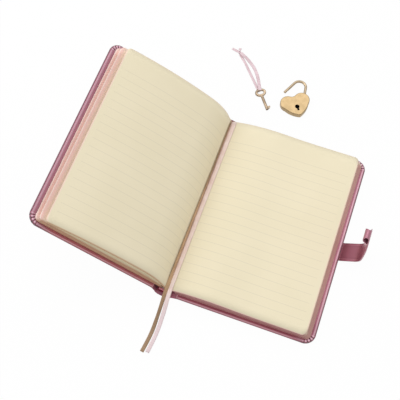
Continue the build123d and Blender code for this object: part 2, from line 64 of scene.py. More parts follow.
class Shade:
    """A socket of a node tree, so that shader sums can be written as Python expressions."""

    def __init__(self, tree, socket=None):
        self.tree = tree
        self.socket = socket

    def feed(self, socket, value):
        """Links another node's value to an input, or sets the input to a plain value."""
        if isinstance(value, Shade):
            self.tree.links.new(value.socket, socket)
        else:
            socket.default_value = value

    def node(self, kind, values=None, out=0):
        """Adds a shader node with its settings, in lower case, and its inputs."""
        made = self.tree.nodes.new("ShaderNode" + kind)
        for key, value in (values or {}).items():
            if key.islower():
                setattr(made, key, value)
            else:
                self.feed(next(s for s in made.inputs if key in (s.identifier, s.name)), value)
        outs = [s for k, s in enumerate(made.outputs) if out in (k, s.identifier, s.name)]
        return Shade(self.tree, outs[0] if outs else None)

    def sum(self, operation, *terms):
        """One Math node on values and sockets."""
        made = self.node("Math", {"operation": operation})
        for socket, term in zip(made.socket.node.inputs, terms):
            self.feed(socket, term)
        return made

    def __add__(self, other):
        return self.sum("ADD", self, other)

    def __sub__(self, other):
        return self.sum("SUBTRACT", self, other)

    def __rsub__(self, other):
        return self.sum("SUBTRACT", other, self)

    def __mul__(self, other):
        return self.sum("MULTIPLY", self, other)

    def __truediv__(self, other):
        return self.sum("DIVIDE", self, other)

    __radd__, __rmul__ = __add__, __mul__

    def mix(self, low, high):
        """This value as the factor between two colours, as sockets or 8-bit screen colours."""
        low, high = (c if isinstance(c, Shade) else srgb(*c) for c in (low, high))
        return self.node("Mix", {"data_type": "RGBA", "Factor_Float": self, "A_Color": low,
                                 "B_Color": high}, "Result_Color")

    def step(self, low, high, to_low=0.0, to_high=1.0):
        """A smooth step of this value from low to high."""
        return self.node("MapRange", {"interpolation_type": "SMOOTHSTEP", "Value": self,
                                      "From Min": low, "From Max": high,
                                      "To Min": to_low, "To Max": to_high})

    def place(self):
        """The point on the piece, in metres."""
        return self.node("TexCoord", out="Object")

    def mark(self, label):
        """A value that the mesh carries under this name."""
        return self.node("Attribute", {"attribute_name": label}, "Fac")

    def map(self, label):
        """A UV layer of the mesh."""
        return self.node("UVMap", {"uv_map": label})

    def parts(self, coords):
        """X, Y and Z of a vector."""
        made = self.node("SeparateXYZ", {"Vector": coords})
        return [Shade(self.tree, socket) for socket in made.socket.node.outputs]

    def noise(self, coords, scale, detail=2.0, roughness=0.5):
        return self.node("TexNoise", {"Vector": coords, "Scale": scale, "Detail": detail,
                                      "Roughness": roughness}, "Fac")

    def wave(self, coords, direction, scale):
        return self.node("TexWave", {"bands_direction": direction, "Vector": coords,
                                     "Scale": scale}, "Fac")

    def stretched(self, coords, size):
        """Coordinates in patches of this size, in metres."""
        return self.node("VectorMath", {"operation": "DIVIDE", "Vector": coords,
                                        "Vector_001": size})

    def bump(self, height, distance, strength):
        return self.node("Bump", {"Height": height, "Distance": distance,
                                  "Strength": strength}, "Normal")


def new_material(name):
    made = bpy.data.materials.new(name)
    made.use_nodes = True
    made.node_tree.nodes.clear()
    return made, Shade(made.node_tree)


def aim(thing, place, target):
    """Puts a lamp or camera at a place, looking at a target."""
    thing.location = place
    thing.rotation_euler = (Vector(target) - Vector(place)).to_track_quat("-Z", "Y").to_euler()
    bpy.context.collection.objects.link(thing)


bpy.context.scene.view_settings.view_transform = "Standard"
WHITE, PAINT = (1.0, 1.0, 1.0, 1.0), (0.93, 0.93, 0.93, 1.0)
TABLE_GLOW = 0.965
SKY_LIGHT, SKY_SEEN, SKY_MIRRORED = 0.64, 0.36, 0.2

table_white, shade = new_material("table_white")
ray = "LightPath"
seen = shade.node(ray, out="Is Camera Ray") + shade.node(ray, out="Is Glossy Ray")
seen = seen + shade.node(ray, out="Is Transmission Ray")
paint = shade.node("BsdfDiffuse", {"Color": PAINT})
glow = shade.node("Emission", {"Color": WHITE, "Strength": 1.0})
shade.node("OutputMaterial", {"Surface": shade.node(
    "MixShader", {"Fac": seen * TABLE_GLOW, "Shader": paint, "Shader_001": glow})})

bpy.ops.mesh.primitive_plane_add(size=8.0, location=(0.0, 0.0, -0.0002))
table = bpy.context.object
table.name = "table"
table.data.materials.append(table_white)

world = bpy.data.worlds.new("even_sky")
world.use_nodes = True
world.node_tree.nodes.clear()
shade = Shade(world.node_tree)
level = (SKY_LIGHT + SKY_SEEN * shade.node(ray, out="Is Camera Ray")
         + SKY_MIRRORED * shade.node(ray, out="Is Glossy Ray"))
shade.node("OutputWorld", {"Surface": shade.node(
    "Background", {"Color": WHITE, "Strength": level})})
bpy.context.scene.world = world

LAMP_TARGET = (-0.03, 0.0, 0.0)
for lamp_name, place, size, power in (("head_lamp", (-0.25, 0.75, 1.25), 1.1, 6.0),
                                      ("side_lamp", (-1.1, -0.15, 0.8), 0.7, 4.6)):
    lamp_data = bpy.data.lights.new(lamp_name, "AREA")
    lamp_data.size = size
    lamp_data.energy = power
    aim(bpy.data.objects.new(lamp_name, lamp_data), place, LAMP_TARGET)

camera_data = bpy.data.cameras.new("camera")
camera_data.sensor_width = 36.0
camera_data.lens = 64.8
camera = bpy.data.objects.new("camera", camera_data)
aim(camera, (0.01665, -0.2462, 0.6070), (-0.07325, 0.0040, 0.0))
bpy.context.scene.camera = camera


# Covers. Each is a stiff grey board wrapped in metallic rose coated cloth, which is turned in
# over the edges and gathered in small pleats round the two rounded corners at the fore edge.
MM = 0.001
COVER_W, COVER_H = 124.0, 183.0
CORNER_R, LEAST_R = 9.6, 0.4
JOINT = 2.8
TURN_IN = 13.0
PLEATS, PLEAT_RISE, PLEAT_LEVEL = 4.5, 0.7, 0.6
PLEAT_SHEEN, VALLEY_SHADE = 0.7, 2.2
WARM_INSET, WARM_HEIGHT = 8.0, 0.5
SPINE_W, SPINE_TILT, FRONT_TILT = 17.0, radians(16.5), radians(33.0)
SPINE_DIR = Vector((-cos(SPINE_TILT), 0.0, sin(SPINE_TILT)))
SPINE_UP = Vector((sin(SPINE_TILT), 0.0, cos(SPINE_TILT)))
FRONT_DIR = Vector((-cos(FRONT_TILT), 0.0, sin(FRONT_TILT)))
FRONT_UP = Vector((sin(FRONT_TILT), 0.0, cos(FRONT_TILT)))
BACK_AXIS = Vector((-64.8, 0.0, 1.3))
FRONT_AXIS = BACK_AXIS + SPINE_DIR * SPINE_W


def on_back(along, across, up):
    """A point given from the back fold axis: out to the fore edge, towards the head, inward."""
    return BACK_AXIS + Vector((along, across, up))


def on_front(along, across, up):
    """A point given from the front fold axis: out to the fore edge, towards the tail, inward."""
    return FRONT_AXIS + FRONT_DIR * along + Vector((0.0, -across, 0.0)) + FRONT_UP * up


def finish_material(shade, inputs):
    """Closes a material with one Principled surface."""
    shade.node("OutputMaterial", {"Surface": shade.node("BsdfPrincipled", inputs)})


rose_skin, shade = new_material("rose_coated_cloth")
place = shade.place()
painted_light_and_tone = shade.mark("painted_light_and_tone")
drift = shade.noise(place, 22.0)
cloud = shade.noise(place, 65.0, 3.0)
grain = shade.node("TexVoronoi", {"Vector": place, "Scale": 1500.0}, "Distance")
fine = shade.noise(place, 2600.0)
tone = drift.step(0.35, 0.68).mix((164, 94, 113), (174, 102, 118))
tone = cloud.step(0.58, 0.80, 0.0, 0.2).mix(tone, (138, 114, 126))
# A second stored value paints a warmer tone on the tail side of each cover, for how that side is
# lit.
tone = shade.mark("painted_warmth").mix(tone, (186, 92, 96))
# A stored value mixes in a lilac painted highlight where it is above zero and a dark plum painted
# shade where it is below. On the covers it is all painted light; on the spine and strap it also
# carries plain darker and lighter tones.
tone = shade.sum("MAXIMUM", painted_light_and_tone, 0.0).mix(tone, (228, 194, 206))
tone = shade.sum("MAXIMUM", painted_light_and_tone * -1.0, 0.0).mix(tone, (74, 40, 54))
finish_material(shade, {
    "Base Color": tone, "Metallic": 0.55,
    "Roughness": 0.30 + 0.12 * cloud + 0.10 * grain,
    "Coat Weight": 0.3, "Coat Roughness": 0.2,
    "Normal": shade.bump(grain * 0.7 + fine * 0.3, 0.00006, 0.5)})


def new_object(name, points, faces, material):
    """A smooth mesh object at the origin from points in millimetres."""
    mesh = bpy.data.meshes.new(name)
    mesh.from_pydata([tuple(Vector(p) * MM) for p in points], [], faces)
    mesh.materials.append(material)
    body = bmesh.new()
    body.from_mesh(mesh)
    bmesh.ops.recalc_face_normals(body, faces=body.faces)
    body.to_mesh(mesh)
    body.free()
    mesh.polygons.foreach_set("use_smooth", [True] * len(mesh.polygons))
    made = bpy.data.objects.new(name, mesh)
    bpy.context.collection.objects.link(made)
    return made


def tube_faces(rows, around):
    """Faces of a tube through rows of points, with a cap at either end."""
    faces = []
    for row in range(rows - 1):
        for step in range(around):
            nxt = (step + 1) % around
            faces.append((row * around + step, row * around + nxt,
                          (row + 1) * around + nxt, (row + 1) * around + step))
    return faces + [tuple(range(around)), tuple(range((rows - 1) * around, rows * around))]


def mark_mesh(piece, label, values, domain="POINT"):
    """Stores one value per point or face, for the piece's material to read."""
    piece.data.attributes.new(label, "FLOAT", domain).data.foreach_set("value", values)


def board_outline(inset, arc_steps=48, side_steps=10):
    """Points round a cover, with the angle of each corner point, at this inset from its edge."""
    radius = max(CORNER_R - inset, LEAST_R)
    fore, fold, high = JOINT + COVER_W - inset, JOINT + inset, COVER_H / 2 - inset
    inner, top = fore - radius, high - radius

    def side(x0, y0, x1, y1, first, last):
        return [(x0 + (x1 - x0) * s / side_steps, y0 + (y1 - y0) * s / side_steps, None)
                for s in range(first, last)]

    ring = []
    for way, start in ((1, pi / 2), (-1, 0.0)):
        for step in range(arc_steps + 1):
            angle = start - pi / 2 * step / arc_steps
            ring.append((inner + radius * cos(angle), way * top + radius * sin(angle), angle))
        if way > 0:
            ring += side(fore, top, fore, -top, 1, side_steps)
    return (ring + side(inner, -high, fold, -high, 1, side_steps + 1)
            + side(fold, -high, fold, high, 1, side_steps)
            + side(fold, high, inner, high, 0, side_steps))


def gather(angle):
    """How high gathered skin stands, from 0 in a valley to 1 on a fold, and how far it is drawn.

    Only the corners, whose points have an angle, are gathered.
    """
    if angle is None:
        return 0.0, 0.0
    turn = abs(angle) / (pi / 2)
    return abs(sin(turn * pi * PLEATS)), sin(pi * turn) ** 0.4


def wrapped_cover(name, place_of, tail, warm, groove, outer, body, replaced):
    """The skin of one cover, from the middle of its outer face round the edge to the turn-in.

    Its tail side, at positive or negative across by tail, has its own painted light and a warmer
    painted tone than the others; groove is the painted light of the skin beside the pages, shade
    when below zero. A ring is its inset and height, how deep the corner pleats are there, the
    painted light (highlight on the rolled edge, shade on its outer wall), and the painted light at
    the tail.
    """
    rings = [(30.0, 0.0, 0, 0, 0), (8.0, 0.0, 0, 0, 0), (2.2, 0.0, 0, 0, 0),
             (1.0, 0.08, 0.1, 0, -0.3), (0.3, 0.42, 0.3, -0.2, -0.5),
             (0.02, 1.0, 0.5, -0.45, -0.6), (0.0, 1.5, 0.6, -0.6, -0.6),
             (0.25, 2.2, 0.7, -0.75, -0.4), (0.7, 2.6, 0.75, -0.7, 0.35),
             (1.15, 2.78, 0.75, 0.35, 0.45), (1.75, 2.84, 0.75, 0.6, 0.0),
             (2.3, 2.84, 0.75, 0.5, groove), (2.9, 2.82, 0.75, groove, groove),
             (3.8, 2.8, 0.7, groove, groove), (5.5, 2.8, 0.5, groove, groove),
             (8.0, 2.8, 0.15, 0, 0), (TURN_IN, 2.79, 0, 0, 0), (TURN_IN + 0.1, 2.42, 0, 0, 0)]
    points, painted_lights, warmths = [], [], []
    for inset, height, depth, painted_light, tail_painted_light in rings:
        for along, across, angle in board_outline(inset):
            fold, share = gather(angle)
            pleat = PLEAT_RISE * depth * (fold - PLEAT_LEVEL) * share
            points.append(place_of(along, across, outer + height + pleat))
            at_tail = tail * across > COVER_H / 2 - CORNER_R and angle is None
            is_warm = at_tail and inset < WARM_INSET and height > WARM_HEIGHT
            warmths.append(warm if is_warm else 0.0)
            # Painted light in the corner pleats: a highlight on each fold and shade in each valley.
            sheen = PLEAT_SHEEN * fold ** 2 - VALLEY_SHADE * (1 - fold) ** 1.5
            painted_lights.append((tail_painted_light if at_tail else painted_light) + depth * share * sheen)
    faces = tube_faces(len(rings), len(points) // len(rings))
    made = new_object(name, points, faces, rose_skin)
    mark_mesh(made, "painted_light_and_tone", painted_lights)
    mark_mesh(made, "painted_warmth", warmths)
    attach(made, body)
    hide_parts(replaced)


wrapped_cover("back_cover_wrap", on_back, tail=-1, warm=0.35, groove=-0.2, outer=-1.3,
              body="back_case", replaced="back_cover_skin")
wrapped_cover("front_cover_wrap", on_front, tail=1, warm=0.75, groove=0.12, outer=0.8,
              body="front_cover", replaced="front_cover_skin")


def pressed_card(name, dark, light, rough):
    """Board or card of pressed fibres."""
    made, shade = new_material(name)
    fibre = shade.noise(shade.place(), 900.0, 4.0, 0.65)
    finish_material(shade, {"Base Color": fibre.mix(dark, light), "Roughness": rough,
                            "Normal": shade.bump(fibre, 0.00008, 0.4)})
    return made


def paint_nodes(material, *names):
    """Gives CAD pieces this material alone."""
    for name in names:
        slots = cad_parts[name].data.materials
        slots.clear()
        slots.append(material)


paint_nodes(pressed_card("grey_board", (150, 142, 132), (192, 184, 172), 0.92),
            "back_board", "front_board")


# Endpapers. A pale rose sheet is pasted inside each cover, where the turned-in cloth leaves the
# board bare, and a loose flyleaf lies on the pages; the front one is with the left-hand leaves.
blush_paper, shade = new_material("blush_endpaper")
place = shade.place()
fibre = shade.noise(place, 1400.0, 3.0, 0.6)
cloud = shade.noise(place, 40.0)
mottle = (fibre * 0.5 + cloud * 0.5).step(0.3, 0.7)
finish_material(shade, {
    "Base Color": mottle.mix((238, 196, 190), (247, 208, 203)),
    "Roughness": 0.78 + 0.1 * fibre, "Normal": shade.bump(fibre, 0.00003, 0.3)})
paint_nodes(blush_paper, "back_pastedown", "front_pastedown", "back_flyleaf")


# Spine. One strip of the same coated cloth joins the covers and folds along two grooves; it
# carries a card inside, and the strip is modelled in two halves that each bend over one fold.
SKIN_T = 1.0
HEADCAP = 1.9
SPINE_LOW = (-72.8, 1.15)
# How much darker the strip's skin is at its two ends, and from what share of its half-length.
END_DARKEN, END_FROM = -0.45, 0.985
RIM_SHARE, RIM_ROUND, RIM_SHARP = 0.9, 8, radians(70)


def smooth_path(corners, radii, per_arc=8, most=0.48):
    """XZ points along straight runs joined by arcs, which take no more than a share of a run."""
    path = [Vector(corners[0])]
    for before, here, after, radius in zip(corners, corners[1:], corners[2:], radii):
        before, here, after = Vector(before), Vector(here), Vector(after)
        back, ahead = (before - here).normalized(), (after - here).normalized()
        half = acos(max(-1.0, min(1.0, back.dot(ahead)))) / 2
        reach = min(radius / max(sin(half), 1e-6) * cos(half),
                    most * min((before - here).length, (after - here).length))
        first, last = here + back * reach, here + ahead * reach
        for step in range(per_arc + 1):
            t = step / per_arc
            path.append(first * (1 - t) ** 2 + here * 2 * t * (1 - t) + last * t ** 2)
    path.append(Vector(corners[-1]))
    return path


def side_vectors(path):
    """Unit vectors to the left of a path in the XZ plane, at each of its points."""
    sides = []
    for step in range(len(path)):
        run = path[min(step + 1, len(path) - 1)] - path[max(step - 1, 0)]
        run = Vector((run[0], run[1])).normalized()
        sides.append(Vector((-run[1], run[0])))
    return sides


def skin_strip(name, path, half_widths, thicknesses, centre_y):
    """A strap of soft skin along a path, with rounded edges and closed ends."""
    face = [(share, 1.0) for share in (0.955, 0.88, 0.82, 0.78, 0.74, 0.5, 0.0)]
    edge = [(1.0, 0.2), (0.985, 0.72)] + face
    edge += [(-across, up) for across, up in reversed(edge[:-1])]
    rim = edge + [(across, -up) for across, up in reversed(edge)]
    points = []
    for spot, side, half, thick in zip(path, side_vectors(path), half_widths, thicknesses):
        for across, up in rim:
            reach = abs(across) * half
            if abs(across) > RIM_SHARE:
                reach = half - (1.0 - abs(across)) * thick * RIM_ROUND
            shift = side * (up * thick / 2)
            points.append((spot[0] + shift[0], centre_y + (reach if across > 0 else -reach),
                           spot[1] + shift[1]))
    made = new_object(name, points, tube_faces(len(path), len(rim)), rose_skin)
    made.data.set_sharp_from_angle(angle=RIM_SHARP)
    return made


def spine_strip(name, path):
    """Part of the spine's strip: level with the covers at its folds, longer between them.

    Its skin is darker at its two ends, where it turns in over the card.
    """
    halves = []
    for spot in path:
        share = (BACK_AXIS[0] - spot[0]) / (BACK_AXIS[0] - FRONT_AXIS[0])
        swell = max(sin(pi * min(max(share, 0.0), 1.0)), 0.0) ** 0.6
        halves.append(COVER_H / 2 + HEADCAP * swell)
    made = skin_strip(name, path, halves, [SKIN_T] * len(path), 0.0)
    reach = max(abs(v.co.y) for v in made.data.vertices)
    ends = [max(abs(v.co.y) / reach - END_FROM, 0.0) for v in made.data.vertices]
    mark_mesh(made, "painted_light_and_tone", [END_DARKEN * end / (1 - END_FROM) for end in ends])
    return made


def xz(vector):
    return (vector[0], vector[2])


spine_back = spine_strip("spine_back_fold",
                         smooth_path([(-60.9, 0.72), (-66.2, 0.62), SPINE_LOW], (14.0,)))
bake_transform(spine_back)
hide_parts("spine_skin")

front_seat = FRONT_AXIS + FRONT_DIR * 3.4 + FRONT_UP * 1.5
front_end = FRONT_AXIS + FRONT_DIR * 5.0 + FRONT_UP * 1.55
front_corners = [SPINE_LOW, (-80.9, 2.3), xz(front_seat), xz(front_end)]
spine_front = spine_strip("spine_front_fold", smooth_path(front_corners, (5.0, 1.2), 12))
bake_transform(spine_front)

paint_nodes(pressed_card("maroon_card", (112, 28, 50), (140, 42, 66), 0.8), "spine_card")


# Spine lining and bands. Open cloth is glued to the backs of the folded sheets, and a short
# woven bead covers its two ends.
BAND_R, BAND_LONG, BAND_TURNS = 0.9, 4.8, 9
BAND_AT, BAND_SEAT, BAND_END = 8.8, 1.3, 88.0

mull_cloth, shade = new_material("mull_cloth")
place = shade.place()
weave = shade.wave(place, "Y", 420.0) * 0.5 + shade.wave(place, "Z", 420.0) * 0.5
finish_material(shade, {"Base Color": weave.mix((150, 120, 116), (206, 182, 172)),
                        "Roughness": 0.9, "Normal": shade.bump(weave, 0.00015, 0.6)})
paint_nodes(mull_cloth, "spine_lining", "block_crepe")

band_thread, shade = new_material("band_thread")
stripe = shade.wave(shade.map("wind"), "X", 2.4).step(0.4, 0.6)
finish_material(shade, {"Base Color": stripe.mix((200, 104, 124), (230, 158, 168)),
                        "Roughness": 0.55})


def mark_map(piece, label, marks):
    """Stores a pair of values per point as a UV layer, for the piece's material to read."""
    layer = piece.data.uv_layers.new(name=label)
    for loop in piece.data.loops:
        layer.data[loop.index].uv = marks[loop.vertex_index]


for node, end in (("head_band", 1), ("tail_band", -1)):
    start = (BACK_AXIS + SPINE_DIR * BAND_AT + SPINE_UP * (BAND_SEAT + BAND_R)
             + Vector((0, end * (BAND_END + BAND_R), 0)))
    points, winds = [], []
    rows, around = 55, 14
    for row in range(rows):
        along = row / (rows - 1)
        swell = 0.90 + 0.10 * abs(sin(along * pi * BAND_TURNS)) if 0 < row < rows - 1 else 0.45
        for step in range(around):
            angle = 2 * pi * step / around
            points.append(start + SPINE_DIR * (along * BAND_LONG)
                          + SPINE_UP * (BAND_R * swell * sin(angle))
                          + Vector((0, BAND_R * swell * cos(angle), 0)))
            winds.append((along, step / around))
    band = new_object(node + "_bead", points, tube_faces(rows, around), band_thread)
    mark_map(band, "wind", winds)
    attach(band, "spine")
    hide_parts(node)


# Lower sections. Cream ruled paper, folded and trimmed, with its cut edges coloured rose. The
# flat sheets under the opening are stacked by a small node tree, with the slight stagger that
# trimmed leaves take up once the block is bent open.
PAGE_W, PAGE_H, PAGE_R = 124.5, 176.0, 4.4
LINE_PITCH, FIRST_LINE, LINES = 7.883, -75.8, 19
LINE_CORE, LINE_FADE = 0.14, 0.30
RULE_FROM, RULE_TO, RULE_FADE = 0.040, 0.955, 0.006
SECTION_T, SECTION_LEAVES, SECTION_TRIM = 1.45, 8, 0.15
SECTION_SLIP, SECTION_SEED = 0.12, 11
LEAF_SHARE = 0.86
BLOCK_BACK, SECTION_FORE, BLOCK_BOTTOM = -62.9, 57.85, 3.1


def page_paper(name, rim, rim_width, edges, fore=None, fore_reach=1.0, tail=None,
               tail_reach=1.0, tail_edge_shade=None):
    """Ruled cream paper with tinted trimmed sides, streaked cut edges and optional painted tail
    shade.
    """
    made, shade = new_material(name)
    place = shade.place()
    page, page_up, _ = shade.parts(shade.map("page"))
    cut = shade.mark("cut_edge")
    row = (page_up * PAGE_H - PAGE_H / 2 - FIRST_LINE) / LINE_PITCH
    from_line = shade.sum("ABSOLUTE", shade.sum("FRACT", row + 0.5) - 0.5) * LINE_PITCH
    ruling = from_line.step(LINE_CORE, LINE_FADE, 1.0, 0.0)
    ruling = ruling * row.step(-0.4, -0.3) * row.step(LINES - 0.7, LINES - 0.6, 1.0, 0.0)
    ruling = ruling * page.step(RULE_FROM, RULE_FROM + RULE_FADE)
    ruling = ruling * page.step(RULE_TO, RULE_TO + RULE_FADE, 1.0, 0.0)
    fibre = shade.noise(place, 1600.0, 3.0, 0.6)
    cloud = shade.noise(place, 28.0)
    mottle = (fibre * 0.35 + cloud * 0.65).step(0.3, 0.7)
    tone = mottle.mix((241, 230, 199), (244, 233, 203))
    tone = (ruling * 0.27).mix(tone, (192, 184, 168))
    from_fore = (1.0 - page) * PAGE_W
    from_side = PAGE_H / 2 - shade.sum("ABSOLUTE", page_up * PAGE_H - PAGE_H / 2)
    over_fore = shade.sum("MAXIMUM", PAGE_R - from_fore, 0.0)
    over_side = shade.sum("MAXIMUM", PAGE_R - from_side, 0.0)
    from_rim = PAGE_R - shade.sum("SQRT", over_fore * over_fore + over_side * over_side)
    if fore:
        tone = from_fore.step(0.5, fore_reach, 0.9, 0.0).mix(tone, fore)
    head = page_up.step(0.975, 0.99, 1.0, 0.3)
    tone = (from_rim.step(rim_width * 0.6, rim_width, 1.0, 0.0) * head).mix(tone, rim)
    # Painted shade: where given, the page turns to the tail colour near its tail edge.
    if tail:
        tone = (page_up * PAGE_H).step(0.3, tail_reach, 0.9, 0.0).mix(tone, tail)
    streak = shade.noise(shade.stretched(place, (0.012, 0.012, 0.0002)), 1.0)
    edge_tone = streak.step(0.3, 0.72).mix(*edges)
    # Painted shade: where given, the cut edges that face the tail turn to a darker colour.
    if tail_edge_shade:
        edge_tone = page_up.step(0.0, 0.02, 0.7, 0.0).mix(edge_tone, tail_edge_shade)
    finish_material(shade, {
        "Base Color": cut.mix(tone, edge_tone),
        "Roughness": 0.86 - 0.36 * cut, "Metallic": cut * 0.25,
        "Normal": shade.bump(fibre, 0.00003, 0.25)})
    return made


def bent_line(start, heading, bends, length, straight_steps=14, arc_steps=16, end_steps=10):
    """Points along a leaf as (x, z, distance from the fold), dense at its rounded end."""
    stations, spot, angle, walked = [], Vector(start), radians(heading), 0.0
    stations.append((spot[0], spot[1], 0.0))
    for radius, turn in bends:
        turn = radians(turn)
        side = 1 if turn > 0 else -1
        centre = spot + Vector((-sin(angle), cos(angle))) * (radius * side)
        for step in range(1, arc_steps + 1):
            part = angle + turn * step / arc_steps
            here = centre - Vector((-sin(part), cos(part))) * (radius * side)
            stations.append((here[0], here[1], walked + radius * abs(turn) * step / arc_steps))
        spot, angle = Vector(stations[-1][:2]), angle + turn
        walked = stations[-1][2]
    rest = length - walked
    marks = [walked + (rest - PAGE_R) * s / straight_steps for s in range(1, straight_steps + 1)]
    marks += [length - PAGE_R + PAGE_R * sin(pi / 2 * s / end_steps)
              for s in range(1, end_steps + 1)]
    run = Vector((cos(angle), sin(angle)))
    stations += [(*(spot + run * (m - walked)), m) for m in marks]
    return stations


def page_half(distance, length):
    """Half the height of a page at this distance from the fold, inside its rounded corners."""
    over = max(distance - (length - PAGE_R), 0.0)
    return PAGE_H / 2 - PAGE_R + sqrt(max(PAGE_R ** 2 - over ** 2, 0.0))


def leaves_mesh(name, leaves, material, columns):
    """Thin leaves as one mesh; each leaf is its upper and lower stations and its page length."""
    points, faces, pages, cuts = [], [], [], []
    for upper, lower, length in leaves:
        base = len(points)
        rows = len(upper)
        for stations in (upper, lower):
            for x, z, distance in stations:
                half = page_half(distance, length)
                for column in range(columns + 1):
                    y = half * (2 * column / columns - 1)
                    points.append((x, y, z))
                    pages.append((distance / length, y / PAGE_H + 0.5))
        stride, sheet = columns + 1, rows * (columns + 1)
        for row in range(rows - 1):
            for column in range(columns):
                a = base + row * stride + column
                quad = (a, a + 1, a + stride + 1, a + stride)
                faces.append(quad)
                faces.append(tuple(v + sheet for v in reversed(quad)))
                cuts += [0.0, 0.0]
        border = [row * stride for row in range(rows)]
        border += [(rows - 1) * stride + column for column in range(1, columns + 1)]
        border += [row * stride + columns for row in range(rows - 2, -1, -1)]
        border += range(columns - 1, 0, -1)
        for here, after in zip(border, border[1:] + border[:1]):
            faces.append((base + here, base + after, base + after + sheet, base + here + sheet))
            cuts.append(1.0)
    made = new_object(name, points, faces, material)
    mark_map(made, "page", pages)
    mark_mesh(made, "cut_edge", cuts, "FACE")
    for polygon, cut_face in zip(made.data.polygons, cuts):
        polygon.use_smooth = not cut_face
    return made


def stack_tree(material, count, pitch, slip):
    """Geometry nodes that stack copies of a sheet upwards, each with a small random slip."""
    tree = bpy.data.node_groups.new("leaf_stack", "GeometryNodeTree")
    for label, way, kind in (("Geometry", "INPUT", "Geometry"), ("Seed", "INPUT", "Int"),
                             ("Geometry", "OUTPUT", "Geometry")):
        tree.interface.new_socket(label, in_out=way, socket_type="NodeSocket" + kind)
    made = {label: tree.nodes.new(kind) for label, kind in (
        ("given", "NodeGroupInput"), ("line", "GeometryNodeMeshLine"),
        ("stack", "GeometryNodeInstanceOnPoints"), ("random", "FunctionNodeRandomValue"),
        ("shift", "ShaderNodeCombineXYZ"), ("slide", "GeometryNodeTranslateInstances"),
        ("real", "GeometryNodeRealizeInstances"), ("paint", "GeometryNodeSetMaterial"),
        ("result", "NodeGroupOutput"))}
    # The random value's sockets 2 and 3 are its least and its greatest number.
    for label, socket, value in (("line", "Count", count), ("line", "Offset", (0.0, 0.0, pitch)),
                                 ("random", 2, -slip), ("random", 3, slip),
                                 ("paint", "Material", material)):
        made[label].inputs[socket].default_value = value
    for source, output, target, socket in (
            ("line", 0, "stack", "Points"), ("given", "Geometry", "stack", "Instance"),
            ("given", "Seed", "random", "Seed"), ("random", 1, "shift", "X"),
            ("stack", 0, "slide", "Instances"), ("shift", 0, "slide", "Translation"),
            ("slide", 0, "real", 0), ("real", 0, "paint", "Geometry"), ("paint", 0, "result", 0)):
        tree.links.new(made[source].outputs[output], made[target].inputs[socket])
    return tree


rose_edges = ((186, 134, 127), (234, 188, 177))
# The cut edges of the stack that face the tail are painted a darker plum, as shade on that side.
stack_paper = page_paper("trimmed_stack_paper", (212, 164, 155), 1.9, rose_edges,
                         tail_edge_shade=(146, 80, 86))
pitch = SECTION_T / SECTION_LEAVES
leaf_stack = stack_tree(stack_paper, SECTION_LEAVES, pitch * MM, SECTION_SLIP * MM)
seed = next(s.identifier for s in leaf_stack.interface.items_tree if s.name == "Seed")
for index in range(3):
    bottom = BLOCK_BOTTOM + index * SECTION_T
    length = SECTION_FORE - index - BLOCK_BACK - SECTION_TRIM
    flat = bent_line((BLOCK_BACK, bottom), 0.0, [], length, 6)
    top = [(x, z + pitch * LEAF_SHARE, walked) for x, z, walked in flat]
    section = leaves_mesh(f"page_section_{index + 1}_leaves", [(top, flat, length)],
                          stack_paper, 2)
    stacked = section.modifiers.new("stack", "NODES")
    stacked.node_group = leaf_stack
    stacked[seed] = SECTION_SEED + index
    graph = bpy.context.evaluated_depsgraph_get()
    stack_mesh = bpy.data.meshes.new_from_object(section.evaluated_get(graph))
    section.modifiers.clear()
    section.data = stack_mesh
    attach(section, "back_case")
    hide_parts(f"page_section_{index + 1}")


# Right-hand opening. The pages under the open leaf swell up from the fold and settle level at
# the fore edge; the top leaf, of the same ruled paper, lies on them and can be turned.
GUTTER, GUTTER_RISE = (-70.45, 8.2), 18.0
RIGHT_BENDS = [(129.0, -18.0), (200.0, -4.5), (400.0, 4.5)]
OPEN_BASE, OPEN_LEAVES, OPEN_SLIP = 7.55, 22, 0.16
UNDER_LEAF, FOLD_CLEAR, LEAF_T = 0.37, 0.8, 0.2


def offset_stations(stations, distance):
    """The same leaf line moved sideways, to the left of its run."""
    sides = side_vectors([Vector(s[:2]) for s in stations])
    return [(x + side[0] * distance, z + side[1] * distance, walked)
            for (x, z, walked), side in zip(stations, sides)]


chance = Random(5)
right_top = bent_line(GUTTER, GUTTER_RISE, RIGHT_BENDS, PAGE_W)
under = [s for s in offset_stations(right_top, -UNDER_LEAF) if s[0] >= GUTTER[0] + FOLD_CLEAR]
reach = [(x - under[0][0]) / (under[-1][0] - under[0][0]) for x, _, _ in under]
leaves = []
for leaf in range(OPEN_LEAVES):
    slip = chance.uniform(-OPEN_SLIP, OPEN_SLIP)
    shares = ((leaf + LEAF_SHARE) / OPEN_LEAVES, leaf / OPEN_LEAVES)
    upper, lower = ([(x + slip * r, OPEN_BASE + (z - OPEN_BASE) * share, walked)
                     for (x, z, walked), r in zip(under, reach)] for share in shares)
    leaves.append((upper, lower, PAGE_W))
open_leaves = leaves_mesh("open_section_leaves", leaves, stack_paper, 4)
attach(open_leaves, "open_section")
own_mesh(open_leaves)
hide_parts("open_section")

ruled_paper = page_paper("ruled_cream_paper", (244, 219, 199), 1.0, rose_edges)
turning_leaf = leaves_mesh("turning_leaf_page",
                           [(right_top, offset_stations(right_top, -LEAF_T), PAGE_W)],
                           ruled_paper, 24)
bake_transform(turning_leaf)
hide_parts("turning_leaf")


# Left-hand leaves. Three bundles of the paper stand up from the lining, bend over and hang above
# the open front cover; the last is the front flyleaf, and the lower two are blush at the fore edge.
LINING_TOP, ROOT_LIFT = 2.5, 0.7
PULL_LONG, PULL_DROP = 5.0, 0.78
TRIM_SHORT, TRIM_LONG, LEFT_SHARE = -0.25, 0.1, 0.84

